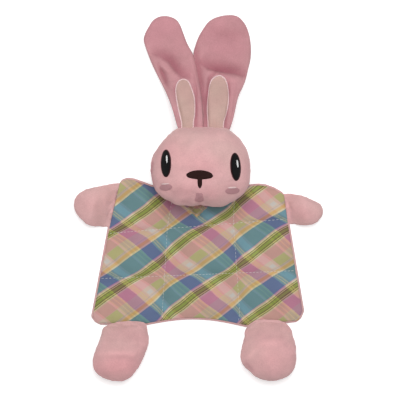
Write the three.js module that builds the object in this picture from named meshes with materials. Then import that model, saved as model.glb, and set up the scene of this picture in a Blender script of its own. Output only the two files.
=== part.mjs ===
// A bunny comforter: a stuffed head with long ears, and two arms and two feet, sewn to a
// small quilted blanket. It lies on its back. +Y runs from the feet to the ears, +X is the
// toy's own left and +Z its front. Sizes are in millimetres and left and right are the toy's.
import * as THREE from 'three';

// Cloth and clearance
const PLAY = 0.3; // gap between two pieces that touch
const VELOUR = 1.1; // velour with its pile
const FILL_PLAY = 0.8; // gap between a filling and the cloth round it
const COTTON = 0.8; // printed cotton
const SATIN = 0.8; // embroidery and satin stitch

// Head, measured from its middle, which lies on the line X = 0
const HEAD_Y = 31.5;
const HEAD_HALF_WIDTH = 45;
const CROWN = 37; // up to the flat crown, where the ears are sewn
const DOME = 41; // up to where the crown's curve would reach
const CHIN = 36;
const HEAD_DEPTH = 62;
const DOME_POWER = 2.1; // 2 is an ellipse, more is squarer
const CHIN_POWER = 2.5;
const HEAD_BULGE = { power: 2.3, edge: 0.55 };
const HEAD_SIDES = 28; // facets round the head
const HEAD_RINGS = 6; // facets from its middle to its seam

// Blanket, its corners as it lies, its hem and its quilting
const TOP_RIGHT = new THREE.Vector2(-73, 18);
const ARM_END_RIGHT = new THREE.Vector2(-82.4, -22.5);
const SIDE_RIGHT = new THREE.Vector2(-97.5, -103);
const HEM_RIGHT = new THREE.Vector2(-93, -108.9);
const TOP_LEFT = new THREE.Vector2(75.5, 7);
const ARM_END_LEFT = new THREE.Vector2(79.2, -19.8);
const SIDE_LEFT = new THREE.Vector2(92.3, -98);
const HEM_LEFT = new THREE.Vector2(88.7, -106.2);
const SHOULDER_DROP = 8.5; // the rounded left shoulder falls this much
const SHOULDER_CORNER = 14; // more is a sharper corner where the shoulder ends
const HEM_RISE = 2.5; // the hem arches up between the feet
const FOOT_END_RIGHT = new THREE.Vector2(-48.6, -105.8); // inner end of the foot's seam
const FOOT_END_LEFT = new THREE.Vector2(41, -106.2);
const FOOT_SEAM_RIGHT = 39.2;
const FOOT_SEAM_LEFT = 40.5;
const QUILT_COLUMNS = [0, 0.33, 0.7, 1]; // shares of the width at the quilting lines
const QUILT_ROWS_RIGHT = [18, -27.5, -68.4, -108.9]; // heights of those lines at each side
const QUILT_ROWS_LEFT = [7, -14.4, -61.2, -106.2];
const PAD_CELLS = 6; // facets across one quilted pad
const WADDING_EDGE = 0.6; // wadding pressed flat under the quilting
const WADDING_CROWN = 3;
const WADDING_INSET = 0.35; // wadding stops this share of a facet inside the hem
const PLEAT = { x: -5, y: -8, width: 5, length: 6, height: 2.2 }; // fold under the chin

// The bed that the head lies in
const BED_SLOPE = 8; // the back of the head eases off the blanket over this length
const BED_SINK = 0.7; // the head lies this far below the crowns of the quilted pads

// Limbs. Widths run along the seam and reaches away from it
const LIMBS = {
  arm_right: { reach: 37, bulge: 41, bulgeAt: 0.2, lean: -4.8, depth: 21 },
  arm_left: { reach: 33.5, bulge: 30, bulgeAt: 0.35, lean: 4.8, depth: 20 },
  foot_right: { reach: 54, bulge: 50, bulgeAt: 0.5, lean: 10, depth: 30 },
  foot_left: { reach: 55, bulge: 52, bulgeAt: 0.55, lean: -2.5, depth: 30 },
};
const LIMB_NECK = 13; // a limb is thin over this length from its seam
const LIMB_BULGE = { power: 2.2, edge: 0.8 };
const LIMB_SEAM_RISE = 0.55; // the side seams climb to mid depth over this share of the reach
const LIMB_RINGS = 4;
const LIMB_TIP_FACETS = 6; // facets round each half of the tip
const LIMB_SEAM_STOPS = [-0.25, 0, 0.25]; // corners along the sewn end, as shares of its length
const FLAT = 0.5; // a stuffed piece is pressed flat this deep where it lies

// Ears, measured along Y from their seam at the crown
const EAR_LENGTH = 99;
const EAR_ROOT_WIDTH_RIGHT = 23.4;
const EAR_ROOT_WIDTH_LEFT = 24.6;
const EAR_WIDTH_RIGHT = 41;
const EAR_WIDTH_LEFT = 50.8;
const EAR_X_RIGHT = -8.6; // middle of the root
const EAR_X_LEFT = 15;
const EAR_LEAN_RIGHT = -24.3;
const EAR_LEAN_LEFT = 9;
const PARTING = { x: 3.4, drift: -10.1, reach: 65, power: 1.4 }; // line where the two ears meet
const EAR_CREASE = 52; // the ear falls from the crown to here and lies flat beyond
const EAR_CUP = 2.4; // the ear's sides stand up by this near its root
const EAR_TIP = 0.12; // flat end of the ear's round tip, as a share of its width
const EAR_CELLS = { across: 6, along: 12 };
const INNER_EAR_LENGTH = 42;
const INNER_EAR_WIDTH = 17;
const INNER_EAR_TIP = { width: 0.2, power: 5 };
const INNER_EAR_CELLS = { across: 4, along: 6 };
const PATCH_PLAY = 0.8; // the inner ear clears the ear's curve by this

// Face. A place on it is a share of the head's half width across, and of its dome up, from
// the middle of the head
const EYES = { eye_right: [-0.68, 0.09], eye_left: [0.69, 0.017] };
const EYE_SIZE = [4.6, 12.4]; // half width and half length
const GLINT_SIZE = [1.3, 4.2];
const GLINT_OFFSET = [1.2, 3.2];
const CHEEKS = { cheek_right: [-0.684, -0.429], cheek_left: [0.631, -0.502] };
const CHEEK_SIZE = [6.2, 3];
const NOSE_PLACE = [-0.018, -0.159];
const NOSE = { halfWidth: 11.8, halfHeight: 4, brow: 0.55, tip: 0.6 };
const STEM = { halfWidth: 2.1, drop: 14.2 };
const MOUTH_PLACE = [-0.027, -0.646];
const MOUTH_SIZE = [4, 3.6];
const PATCH_SIDES = 16;
const NOSE_FACETS = 4; // facets along each curve of the nose
const PATCH_RING = 0.55; // an embroidered patch bends along a line at this share of its size

const COLOURS = {
  velour: 0xd9a6a6,
  earVelour: 0xc59196,
  innerEar: 0xc4a89b,
  plaid: 0x7fa0a0,
  filling: 0xf2efe8,
  eye: 0x262426,
  glint: 0xcdcdcd,
  nose: 0x3a2020,
  mauve: 0xb48287,
};

// Small helpers
const mix = THREE.MathUtils.lerp;
const smooth = (x) => THREE.MathUtils.smoothstep(x, 0, 1);
const bulge = (share, { power, edge }) => (1 - Math.min(share, 1) ** power) ** edge;
const rings = (count) => Array.from({ length: count }, (_, i) => Math.sin(((i + 1) / count) * Math.PI / 2));

function cloth(colour) {
  return new THREE.MeshStandardMaterial({ color: colour, roughness: 0.95, metalness: 0 });
}

function piece(name, geometry, colour) {
  geometry.computeVertexNormals();
  const mesh = new THREE.Mesh(geometry, cloth(colour));
  mesh.name = name;
  return mesh;
}

// A closed skin over loops of points that run counterclockwise seen from above. It starts at
// a top pole, goes out and round, and ends at a bottom pole. Turned over, it starts at the
// bottom pole, and splits its cells along the same lines.
function closedSkin(top, loops, bottom, turnedOver = false) {
  const points = [top, ...loops.flat(), bottom];
  const sides = loops[0].length;
  const faces = [];
  for (let i = 0; i < sides; i += 1) {
    const next = (i + 1) % sides;
    const last = 1 + (loops.length - 1) * sides;
    faces.push(0, 1 + i, 1 + next);
    faces.push(points.length - 1, last + next, last + i);
    for (let loop = 0; loop + 1 < loops.length; loop += 1) {
      const here = 1 + loop * sides;
      const below = here + sides;
      faces.push(here + i, below + i, below + next);
      faces.push(here + i, below + next, here + next);
    }
  }
  const geometry = new THREE.BufferGeometry().setFromPoints(points);
  geometry.setIndex(turnedOver ? faces.reverse() : faces);
  return geometry;
}

// A sheet of cloth: a grid of cells on two layers, joined round the edge. Its corners are laid
// by place(across, along, layer), and both layers split their cells along the same diagonal.
function sheet(columns, rows, place) {
  const points = [];
  for (const layer of [0, 1]) {
    for (let row = 0; row <= rows; row += 1) {
      for (let column = 0; column <= columns; column += 1) {
        points.push(new THREE.Vector3(...place(column / columns, row / rows, layer)));
      }
    }
  }
  const at = (column, row, layer) => (layer * (rows + 1) + row) * (columns + 1) + column;
  const faces = [];
  for (let row = 0; row < rows; row += 1) {
    for (let column = 0; column < columns; column += 1) {
      const [a, b, c, d] = [[0, 0], [1, 0], [1, 1], [0, 1]].map(([i, j]) => at(column + i, row + j, 0));
      const up = at(0, 0, 1);
      faces.push(a, c, b, a, d, c);
      faces.push(a + up, b + up, c + up, a + up, c + up, d + up);
    }
  }
  const wall = (from, to) => {
    const up = at(0, 0, 1);
    faces.push(from, to, to + up, from, to + up, from + up);
  };
  for (let column = 0; column < columns; column += 1) {
    wall(at(column, 0, 0), at(column + 1, 0, 0));
    wall(at(column + 1, rows, 0), at(column, rows, 0));
  }
  for (let row = 0; row < rows; row += 1) {
    wall(at(columns, row, 0), at(columns, row + 1, 0));
    wall(at(0, row + 1, 0), at(0, row, 0));
  }
  const geometry = new THREE.BufferGeometry().setFromPoints(points);
  geometry.setIndex(faces);
  return geometry;
}

// An outline moved outward by a distance, which is inward where it is negative
function offsetOutline(outline, distance) {
  return outline.map((point, i) => {
    const before = outline[(i + outline.length - 1) % outline.length];
    const after = outline[(i + 1) % outline.length];
    const along = after.clone().sub(before).normalize();
    return new THREE.Vector2(point.x + along.y * distance, point.y - along.x * distance);
  });
}

// Stuffed pads. A pad has an outline, its middle, the height of its seam at any place, and
// how high the inside of its cloth rises above the seam at a place and a share of the radius.
function padLoop(pad, outline, share, height) {
  return outline.map((edge) => {
    const place = edge.clone().sub(pad.middle).multiplyScalar(share).add(pad.middle);
    return new THREE.Vector3(place.x, place.y, pad.seamHeight(place) + height(place, share));
  });
}

// One panel of a pad: side 1 is the front and side -1 the back
function panel(pad, side) {
  const shares = rings(pad.rings);
  const inside = offsetOutline(pad.outline, -pad.wallInset);
  const seamEdge = offsetOutline(pad.outline, VELOUR);
  const outer = (place, share) => side * (PLAY / 2 + VELOUR + pad.rise(place, share, side));
  const inner = (place, share) => side * (PLAY / 2 + pad.rise(place, share, side));
  const flange = () => side * (PLAY / 2);
  const [first, last] = [outer, inner].map((height) => padLoop(pad, [pad.middle], 0, height)[0]);
  const loops = [
    ...shares.map((share) => padLoop(pad, pad.outline, share, outer)),
    padLoop(pad, seamEdge, 1, flange),
    ...shares.toReversed().map((share) => padLoop(pad, inside, share, inner)),
  ];
  return closedSkin(first, loops, last, side < 0);
}

// The filling of a pad lies inside its panels and stops one ring short of the seam
function filling(pad) {
  const inside = offsetOutline(pad.outline, -pad.wallInset - FILL_PLAY);
  const shares = rings(pad.rings).slice(0, -1);
  const half = (side) => (place, share) => side * (pad.rise(place, share, side) - FILL_PLAY);
  const pole = (side) => padLoop(pad, [pad.middle], 0, half(side))[0];
  const loops = [
    ...shares.map((share) => padLoop(pad, inside, share, half(1))),
    ...shares.toReversed().map((share) => padLoop(pad, inside, share, half(-1))),
  ];
  return closedSkin(pole(1), loops, pole(-1));
}

// Blanket
const QUILTED = QUILT_ROWS_RIGHT.length - 1;
const cells = PAD_CELLS * QUILTED;
const WADDING_BASE = VELOUR + PLAY;
const HEM_TOP = WADDING_BASE + WADDING_EDGE + PLAY + COTTON;
const PAD_TOP = WADDING_BASE + WADDING_CROWN + PLAY + COTTON;

function along(stops, share) {
  const place = THREE.MathUtils.clamp(share, 0, 1) * (stops.length - 1);
  const step = Math.min(Math.floor(place), stops.length - 2);
  return mix(stops[step], stops[step + 1], place - step);
}

// X of a side edge at a height: straight lines from the shoulder to the hem
function sideEdge(corners, y) {
  const step = corners.findIndex((corner, i) => i > 0 && y >= corner.y - 1e-6);
  const index = step < 0 ? corners.length - 1 : step;
  const [above, below] = [corners[index - 1], corners[index]];
  return mix(above.x, below.x, (above.y - y) / (above.y - below.y));
}

// Height of the hem: straight along each foot's seam, with an arch between the feet
function hemHeight(x) {
  const slope = (FOOT_END_RIGHT.y - HEM_RIGHT.y) / (FOOT_END_RIGHT.x - HEM_RIGHT.x);
  if (x < FOOT_END_RIGHT.x) {
    return FOOT_END_RIGHT.y + (x - FOOT_END_RIGHT.x) * slope;
  }
  const share = (x - FOOT_END_RIGHT.x) / (FOOT_END_LEFT.x - FOOT_END_RIGHT.x);
  const level = mix(FOOT_END_RIGHT.y, FOOT_END_LEFT.y, Math.min(share, 1));
  return level + HEM_RISE * Math.sin(Math.PI * Math.min(share, 1));
}

function blanketPlace(u, v) {
  const across = along(QUILT_COLUMNS, u);
  const right = [TOP_RIGHT, ARM_END_RIGHT, SIDE_RIGHT, HEM_RIGHT];
  const left = [TOP_LEFT, ARM_END_LEFT, SIDE_LEFT, HEM_LEFT];
  const rightY = along(QUILT_ROWS_RIGHT, v);
  const leftY = along(QUILT_ROWS_LEFT, v);
  const x = mix(sideEdge(right, rightY), sideEdge(left, leftY), across);
  const bottom = hemHeight(x) - mix(HEM_RIGHT.y, HEM_LEFT.y, across);
  const shoulder = SHOULDER_DROP * (across - across ** SHOULDER_CORNER);
  const bend = shoulder * Math.max(0, 1 - v * QUILTED) + bottom * Math.max(0, v * QUILTED - QUILTED + 1);
  return new THREE.Vector2(x, mix(rightY, leftY, across) + bend);
}

// How far the wadding fills a pad at a grid corner: none on a quilting line, all at its crown
function waddingLoft(u, v) {
  const wave = (share) => Math.abs(Math.sin(Math.PI * share * QUILTED));
  return mix(WADDING_EDGE, WADDING_CROWN, Math.sqrt(wave(u) * wave(v)));
}

function pleat({ x, y }) {
  const away = ((x - PLEAT.x) / PLEAT.width) ** 2 + ((y - PLEAT.y) / PLEAT.length) ** 2;
  return PLEAT.height * Math.exp(-away);
}

function blanketFront() {
  return sheet(cells, cells, (u, fromHem, layer) => {
    const v = 1 - fromHem;
    const place = blanketPlace(u, v);
    const base = WADDING_BASE + waddingLoft(u, v) + PLAY + pleat(place);
    return [place.x, place.y, base + layer * COTTON];
  });
}

function blanketWadding() {
  const inset = WADDING_INSET / cells;
  const keepIn = (share) => THREE.MathUtils.clamp(share, inset, 1 - inset);
  return sheet(cells, cells, (u, fromHem, layer) => {
    const v = 1 - fromHem;
    const place = blanketPlace(keepIn(u), keepIn(v));
    return [place.x, place.y, WADDING_BASE + layer * waddingLoft(u, v)];
  });
}

// The back is one flat panel with the outline of the front
function blanketBack() {
  const steps = Array.from({ length: cells }, (_, i) => i / cells);
  const edge = [
    ...steps.map((t) => blanketPlace(0, t)),
    ...steps.map((t) => blanketPlace(t, 1)),
    ...steps.map((t) => blanketPlace(1, 1 - t)),
    ...steps.map((t) => blanketPlace(1 - t, 0)),
  ];
  return new THREE.ExtrudeGeometry(new THREE.Shape(edge), { depth: VELOUR, bevelEnabled: false });
}

function blanket() {
  const group = new THREE.Group();
  group.add(piece('blanket_front', blanketFront(), COLOURS.plaid));
  group.add(piece('blanket_wadding', blanketWadding(), COLOURS.filling));
  group.add(piece('blanket_back', blanketBack(), COLOURS.velour));
  return group;
}

// Head. The gauge of a place is its share of the way from the middle to the outline
function headGauge({ x, y }) {
  const [reach, power] = y > 0 ? [DOME, DOME_POWER] : [CHIN, CHIN_POWER];
  const round = ((Math.abs(x) / HEAD_HALF_WIDTH) ** power + (Math.abs(y) / reach) ** power) ** (1 / power);
  return Math.max(round, y / CROWN);
}

function headOutline(sides) {
  return Array.from({ length: sides }, (_, i) => {
    const angle = ((i + 0.5) / sides) * Math.PI * 2;
    const ray = new THREE.Vector2(Math.cos(angle), Math.sin(angle));
    return ray.divideScalar(headGauge(ray));
  });
}

// The back of the head lies on the blanket as far as its top edge, and on the ground beyond
function headBed(y) {
  const edge = TOP_RIGHT.y - HEAD_Y;
  return (PAD_TOP - BED_SINK) * smooth((edge + BED_SLOPE - y) / BED_SLOPE);
}

const HEAD_RISE = HEAD_DEPTH / 2 - VELOUR - PLAY / 2;

function headPad() {
  const middleHeight = HEAD_DEPTH / 2;
  const rise = (place, share, side) => {
    if (side > 0) {
      return HEAD_RISE * bulge(share, HEAD_BULGE);
    }
    const deep = (HEAD_RISE + FLAT) * bulge(share, HEAD_BULGE);
    return Math.min(deep, middleHeight - PLAY / 2 - VELOUR - headBed(place.y));
  };
  const outline = offsetOutline(headOutline(HEAD_SIDES), -VELOUR);
  const middle = new THREE.Vector2(0, 0);
  return { outline, middle, seamHeight: () => middleHeight, rise, rings: HEAD_RINGS, wallInset: VELOUR };
}

// Height of the front of the face at a place
function faceHeight(place) {
  return HEAD_DEPTH / 2 + PLAY / 2 + VELOUR + HEAD_RISE * bulge(headGauge(place), HEAD_BULGE);
}

// An embroidered patch on the face, above other patches by whole layers
function patch(outline, layer = 0) {
  const middle = new THREE.Vector2();
  outline.forEach((point) => middle.addScaledVector(point, 1 / outline.length));
  const floor = PLAY + layer * (SATIN + PLAY);
  const loop = (share, height) => outline.map((edge) => {
    const place = edge.clone().sub(middle).multiplyScalar(share).add(middle);
    return new THREE.Vector3(place.x, place.y, faceHeight(place) + height);
  });
  const pole = (height) => new THREE.Vector3(middle.x, middle.y, faceHeight(middle) + height);
  const top = floor + SATIN;
  const loops = [loop(PATCH_RING, top), loop(1, top), loop(1, floor), loop(PATCH_RING, floor)];
  return closedSkin(pole(top), loops, pole(floor));
}

function facePlace([across, up]) {
  return new THREE.Vector2(across * HEAD_HALF_WIDTH, up * DOME);
}

function oval({ x, y }, [halfWidth, halfHeight], sides) {
  return new THREE.EllipseCurve(x, y, halfWidth, halfHeight).getSpacedPoints(sides).slice(0, -1);
}

// The nose is a flat oval with a stem that drops from its middle
function noseOutline() {
  const shape = new THREE.Shape();
  const brow = NOSE.halfHeight * NOSE.brow;
  const tip = NOSE.halfWidth * NOSE.tip;
  const foot = brow - STEM.drop;
  shape.moveTo(STEM.halfWidth, foot + STEM.halfWidth);
  shape.lineTo(STEM.halfWidth, -brow);
  shape.quadraticCurveTo(NOSE.halfWidth, -brow, NOSE.halfWidth, 0);
  shape.quadraticCurveTo(tip, NOSE.halfHeight, 0, NOSE.halfHeight);
  shape.quadraticCurveTo(-tip, NOSE.halfHeight, -NOSE.halfWidth, 0);
  shape.quadraticCurveTo(-NOSE.halfWidth, -brow, -STEM.halfWidth, -brow);
  shape.lineTo(-STEM.halfWidth, foot + STEM.halfWidth);
  shape.absarc(0, foot + STEM.halfWidth, STEM.halfWidth, Math.PI, Math.PI * 2, false);
  const place = facePlace(NOSE_PLACE);
  return shape.getPoints(NOSE_FACETS).slice(0, -1).map((point) => point.clone().add(place));
}

function face() {
  const group = new THREE.Group();
  Object.entries(EYES).forEach(([name, shares]) => {
    const place = facePlace(shares);
    const glint = place.clone().add(new THREE.Vector2(...GLINT_OFFSET));
    group.add(piece(name, patch(oval(place, EYE_SIZE, PATCH_SIDES)), COLOURS.eye));
    group.add(piece(`${name}_glint`, patch(oval(glint, GLINT_SIZE, PATCH_SIDES / 2), 1), COLOURS.glint));
  });
  Object.entries(CHEEKS).forEach(([name, shares]) => {
    group.add(piece(name, patch(oval(facePlace(shares), CHEEK_SIZE, PATCH_SIDES)), COLOURS.mauve));
  });
  group.add(piece('nose', patch(noseOutline()), COLOURS.nose));
  group.add(piece('mouth', patch(oval(facePlace(MOUTH_PLACE), MOUTH_SIZE, PATCH_SIDES)), COLOURS.mauve));
  return group;
}

function head() {
  const group = new THREE.Group();
  group.position.y = HEAD_Y;
  const pad = headPad();
  group.add(piece('head_front', panel(pad, 1), COLOURS.velour));
  group.add(piece('head_back', panel(pad, -1), COLOURS.velour));
  group.add(piece('head_stuffing', filling(pad), COLOURS.filling));
  group.add(face());
  return group;
}

// Ears. Both lie in one curved surface, so that each can fold past the other
const SEAM_HALF = VELOUR + PLAY / 2; // half the thickness of two layers at a sewn edge
const EAR_SEAM = { y: HEAD_Y + CROWN + PLAY + SEAM_HALF, z: HEAD_DEPTH / 2 };

function earHeight(distance, sideways) {
  const fall = smooth(distance / EAR_CREASE);
  const cup = EAR_CUP * Math.sin(Math.PI * Math.min(distance / EAR_CREASE, 1)) * sideways ** 2;
  return mix(EAR_SEAM.z, SEAM_HALF, fall) + cup;
}

// X of an ear's edge: side -1 is toward the toy's right
function earEdge(ear, distance, side) {
  const share = distance / EAR_LENGTH;
  const lean = ear.lean * Math.min(1, share / ear.leanEnd) ** ear.leanPower;
  const rootHalf = ear.root / 2;
  const wideHalf = ear.width / 2;
  const past = Math.max(0, (share - ear.widest) / (1 - ear.widest));
  const round = Math.max(EAR_TIP, Math.sqrt(1 - past ** 2));
  const half = mix(rootHalf, wideHalf, smooth(share / ear.widest)) * round;
  const own = ear.x + lean + side * half;
  if (side === ear.outward || distance > PARTING.reach) {
    return own;
  }
  const parting = PARTING.x + PARTING.drift * (distance / PARTING.reach) ** PARTING.power;
  const limit = parting + ear.outward * PLAY;
  return ear.outward > 0 ? Math.max(own, limit) : Math.min(own, limit);
}

function earPlace(ear, across, distance) {
  const x = mix(earEdge(ear, distance, -1), earEdge(ear, distance, 1), across);
  return new THREE.Vector3(x, EAR_SEAM.y + distance, earHeight(distance, across * 2 - 1));
}

// One layer of an ear: side 1 is the front. Its inner face reaches past the fold line by the
// thickness of the cloth, so that the sewn edge turns on that line
function earLayer(ear, side) {
  return sheet(EAR_CELLS.across, EAR_CELLS.along, (across, share, layer) => {
    const outer = side > 0 ? layer : 1 - layer;
    const place = earPlace(ear, across, EAR_LENGTH * Math.sin(share * Math.PI / 2));
    const tuck = share === 0 ? VELOUR * (1 - outer) : 0;
    const height = place.z + side * (PLAY / 2 + outer * VELOUR);
    return [place.x, place.y - tuck, height];
  });
}

// The beige inner ear, round at its tip, lies on the front layer
function innerEar(ear) {
  return sheet(INNER_EAR_CELLS.across, INNER_EAR_CELLS.along, (across, share, layer) => {
    const distance = mix(VELOUR, INNER_EAR_LENGTH, Math.sin(share * Math.PI / 2));
    const round = Math.max(INNER_EAR_TIP.width, Math.sqrt(1 - share ** INNER_EAR_TIP.power));
    const half = (INNER_EAR_WIDTH / 2) * round;
    const [right, left] = [-1, 1].map((side) => earEdge(ear, distance, side));
    const x = mix(right, left, ear.innerShare) + (across * 2 - 1) * half;
    const sideways = ((x - right) / (left - right)) * 2 - 1;
    const height = earHeight(distance, sideways) + PLAY / 2 + VELOUR + PATCH_PLAY + layer * SATIN;
    return [x, EAR_SEAM.y + distance, height];
  });
}

function ear(name, shape) {
  const group = new THREE.Group();
  group.add(piece(`${name}_front`, earLayer(shape, 1), COLOURS.earVelour));
  group.add(piece(`${name}_back`, earLayer(shape, -1), COLOURS.velour));
  group.add(piece(`${name}_inner`, innerEar(shape), COLOURS.innerEar));
  return group;
}

const EARS = {
  ear_right: {
    x: EAR_X_RIGHT, lean: EAR_LEAN_RIGHT, leanEnd: 0.8, leanPower: 1.25, outward: -1,
    root: EAR_ROOT_WIDTH_RIGHT, width: EAR_WIDTH_RIGHT, widest: 0.65, innerShare: 0.5,
  },
  ear_left: {
    x: EAR_X_LEFT, lean: EAR_LEAN_LEFT, leanEnd: 1, leanPower: 1, outward: 1,
    root: EAR_ROOT_WIDTH_LEFT, width: EAR_WIDTH_LEFT, widest: 0.68, innerShare: 0.5,
  },
};

// Limbs, each in its own frame: X along its seam, Y away from the blanket
const SEAM_HEIGHT = HEM_TOP / 2;
const SETBACK = SEAM_HALF + 2 * PLAY; // from the edge of the blanket to the line a limb turns on

function limbOutline({ seam, reach, bulge: width, bulgeAt, lean }) {
  const sway = (y) => lean * (y / reach) ** 2;
  const point = (halfWidth, y) => new THREE.Vector2(halfWidth + sway(y), y);
  const side = [0, 0.5].map((t) => [mix(seam, width, smooth(t)) / 2, bulgeAt * reach * t]);
  const tip = Array.from({ length: LIMB_TIP_FACETS }, (_, i) => {
    const angle = (i / LIMB_TIP_FACETS) * (Math.PI / 2);
    return [(width / 2) * Math.cos(angle), reach * mix(bulgeAt, 1, Math.sin(angle))];
  });
  const flank = [...side, ...tip];
  return [
    ...flank.map(([half, y]) => point(half, y)),
    point(0, reach),
    ...flank.toReversed().map(([half, y]) => point(-half, y)),
    ...LIMB_SEAM_STOPS.map((share) => point(seam * share, 0)),
  ];
}

function limbPad(size) {
  const { reach, lean, depth } = size;
  const belly = depth / 2;
  const seamHeight = ({ y }) => mix(SEAM_HEIGHT, belly, smooth(y / (LIMB_SEAM_RISE * reach)));
  const rise = (place, share, side) => {
    const full = belly - SEAM_HALF + (side < 0 ? FLAT : 0);
    const height = full * bulge(share, LIMB_BULGE) * smooth(place.y / LIMB_NECK);
    return side > 0 ? height : Math.min(height, seamHeight(place) - SEAM_HALF);
  };
  const middle = new THREE.Vector2(lean / 4, reach / 2);
  return { outline: limbOutline(size), middle, seamHeight, rise, rings: LIMB_RINGS, wallInset: VELOUR / 2 };
}

// A limb is sewn along the edge of the blanket from one point to another, which run
// counterclockwise round the limb's own frame
function limb(name, from, to) {
  const seam = from.distanceTo(to);
  const alongSeam = to.clone().sub(from).divideScalar(seam);
  const outward = new THREE.Vector2(-alongSeam.y, alongSeam.x);
  const middle = from.clone().lerp(to, 0.5).addScaledVector(outward, SETBACK);
  const pad = limbPad({ seam, ...LIMBS[name] });
  const group = new THREE.Group();
  group.position.set(middle.x, middle.y, 0);
  group.rotation.z = alongSeam.angle();
  group.add(piece(`${name}_front`, panel(pad, 1), COLOURS.velour));
  group.add(piece(`${name}_back`, panel(pad, -1), COLOURS.velour));
  group.add(piece(`${name}_stuffing`, filling(pad), COLOURS.filling));
  return group;
}

function alongHem(from, to, length) {
  return from.clone().add(to.clone().sub(from).setLength(length));
}

function limbs() {
  const group = new THREE.Group();
  group.add(limb('arm_right', ARM_END_RIGHT, TOP_RIGHT));
  group.add(limb('arm_left', TOP_LEFT, ARM_END_LEFT));
  group.add(limb('foot_right', FOOT_END_RIGHT, alongHem(FOOT_END_RIGHT, HEM_RIGHT, FOOT_SEAM_RIGHT)));
  group.add(limb('foot_left', alongHem(FOOT_END_LEFT, HEM_LEFT, FOOT_SEAM_LEFT), FOOT_END_LEFT));
  return group;
}

// The whole toy, with the middle of its box at the origin and its back on the ground
const toy = new THREE.Group();
toy.add(blanket());
toy.add(head());
Object.entries(EARS).forEach(([name, shape]) => toy.add(ear(name, shape)));
toy.add(limbs());

const box = new THREE.Box3().setFromObject(toy);
const centre = box.getCenter(new THREE.Vector3());
toy.position.set(-centre.x, -centre.y, -box.min.z);

const part = new THREE.Group();
part.add(toy);
export default part;
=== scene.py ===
"""A bunny comforter: a stuffed head with long ears, arms and feet on a small quilted blanket.

Places are given on the sewing pattern, whose squares are 0.9 mm wide. X runs to the right
and Y runs down the pattern. Heights are in metres above the surface the toy lies on.
"""

import math

import bmesh
import bpy
import numpy as np
from bpy.props import FloatProperty, FloatVectorProperty, IntProperty, PointerProperty
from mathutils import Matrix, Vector, noise
from mathutils.bvhtree import BVHTree


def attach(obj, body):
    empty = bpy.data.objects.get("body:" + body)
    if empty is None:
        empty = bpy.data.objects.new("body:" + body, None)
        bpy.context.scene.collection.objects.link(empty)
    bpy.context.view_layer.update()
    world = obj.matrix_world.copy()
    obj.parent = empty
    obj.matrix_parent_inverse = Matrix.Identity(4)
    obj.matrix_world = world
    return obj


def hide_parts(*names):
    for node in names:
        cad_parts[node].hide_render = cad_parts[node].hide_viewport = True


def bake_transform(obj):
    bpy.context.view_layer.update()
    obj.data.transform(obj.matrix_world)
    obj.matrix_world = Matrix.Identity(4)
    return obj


bl_info = {
    "name": "Bunny comforter",
    "version": (1, 0, 0),
    "blender": (4, 5, 0),
    "location": "View3D > Sidebar > Comforter",
    "description": "Builds the plush pieces of a bunny comforter on its packed frame",
    "category": "Add Mesh",
}

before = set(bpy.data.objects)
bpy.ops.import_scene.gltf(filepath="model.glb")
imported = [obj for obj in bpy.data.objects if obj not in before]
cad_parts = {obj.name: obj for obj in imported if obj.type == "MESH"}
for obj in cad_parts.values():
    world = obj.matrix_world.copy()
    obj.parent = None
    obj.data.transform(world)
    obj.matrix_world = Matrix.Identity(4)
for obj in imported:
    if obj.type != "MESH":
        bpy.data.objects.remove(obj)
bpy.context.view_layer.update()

MM = 0.001
SQUARE = 0.9 * MM
NECK_SEAM = 196.3  # the pattern line along which the head is sewn to the blanket
PATTERN_MIDDLE = (197.291, 201.312)  # the pattern square over the middle of the footprint
PATTERN_SIZE = 400 * SQUARE

HEAD_SEAM_HEIGHT = 31 * MM
EDGE_SEAM_HEIGHT = 1.55 * MM
FLOOR_GAP = 0.15 * MM
SEAM_BEND = (-1 * MM, 14 * MM)  # distances on either side of a limb's seam; the places they give beside it are not used
HEAD_SPARE_CLOTH, LIMB_SPARE_CLOTH = 0.012, 0.008  # shares of a cover's size
STUFFING_FRAMES = 20

HEAD_LINE = [
    (178, 127.6), (172, 131), (165, 137.6), (159, 145), (154, 152.5), (150.8, 160), (149.9, 168),
    (150.6, 177), (152.6, 186), (156.6, 193), (162.4, 198.7), (170, 202.6), (177, 206.2),
    (185.6, 207), (193, 207.4), (200, 206.6), (207, 207), (214.6, 208), (223, 207.4), (231, 204),
    (239.5, 198.7), (245.4, 193), (249.4, 185.5), (251, 176), (251, 166), (248.9, 154),
    (243.8, 143.4), (237.8, 136), (231, 130.4), (227, 127.6), (216, 126.6), (203, 126.2),
    (189, 126.6),
]
EAR_LINES = {
    "ear_right": [
        (177.5, 128), (174.8, 117.7), (170.7, 104.5), (164.9, 90.4), (158.2, 77), (150.8, 61.4),
        (145.2, 46.4), (143.4, 39), (145, 32.6), (148.3, 26.3), (152.4, 20), (157.6, 16.4),
        (164, 15.1), (170.4, 16), (176.3, 18.9), (180, 24), (183.2, 32.3), (186.6, 41.5),
        (190, 48), (193, 53.6), (195.4, 62), (198, 74), (200.4, 90), (202.4, 106), (203.4, 126),
        (202.6, 132), (190, 133), (180, 132),
    ],
    "ear_left": [
        (204.2, 132), (203.2, 126), (202.8, 112), (201.1, 95.4), (198.5, 79.6), (196, 66.3),
        (193.3, 55), (194.9, 46.4), (198, 37.3), (202.2, 29.7), (208, 21.6), (214.6, 17.2),
        (223, 14.8), (231.2, 14.2), (237, 15.2), (241.2, 18.2), (246.2, 24.9), (249.6, 34.8),
        (251.2, 46.4), (250.8, 58), (248.6, 68), (245.7, 79.6), (242.8, 87), (238.9, 95.4),
        (236.2, 105.3), (233.7, 117), (230.8, 126.5), (228, 132), (217, 133),
    ],
}
EAR_MIDDLES = {"ear_right": (175, 72), "ear_left": (219, 72)}
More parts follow.
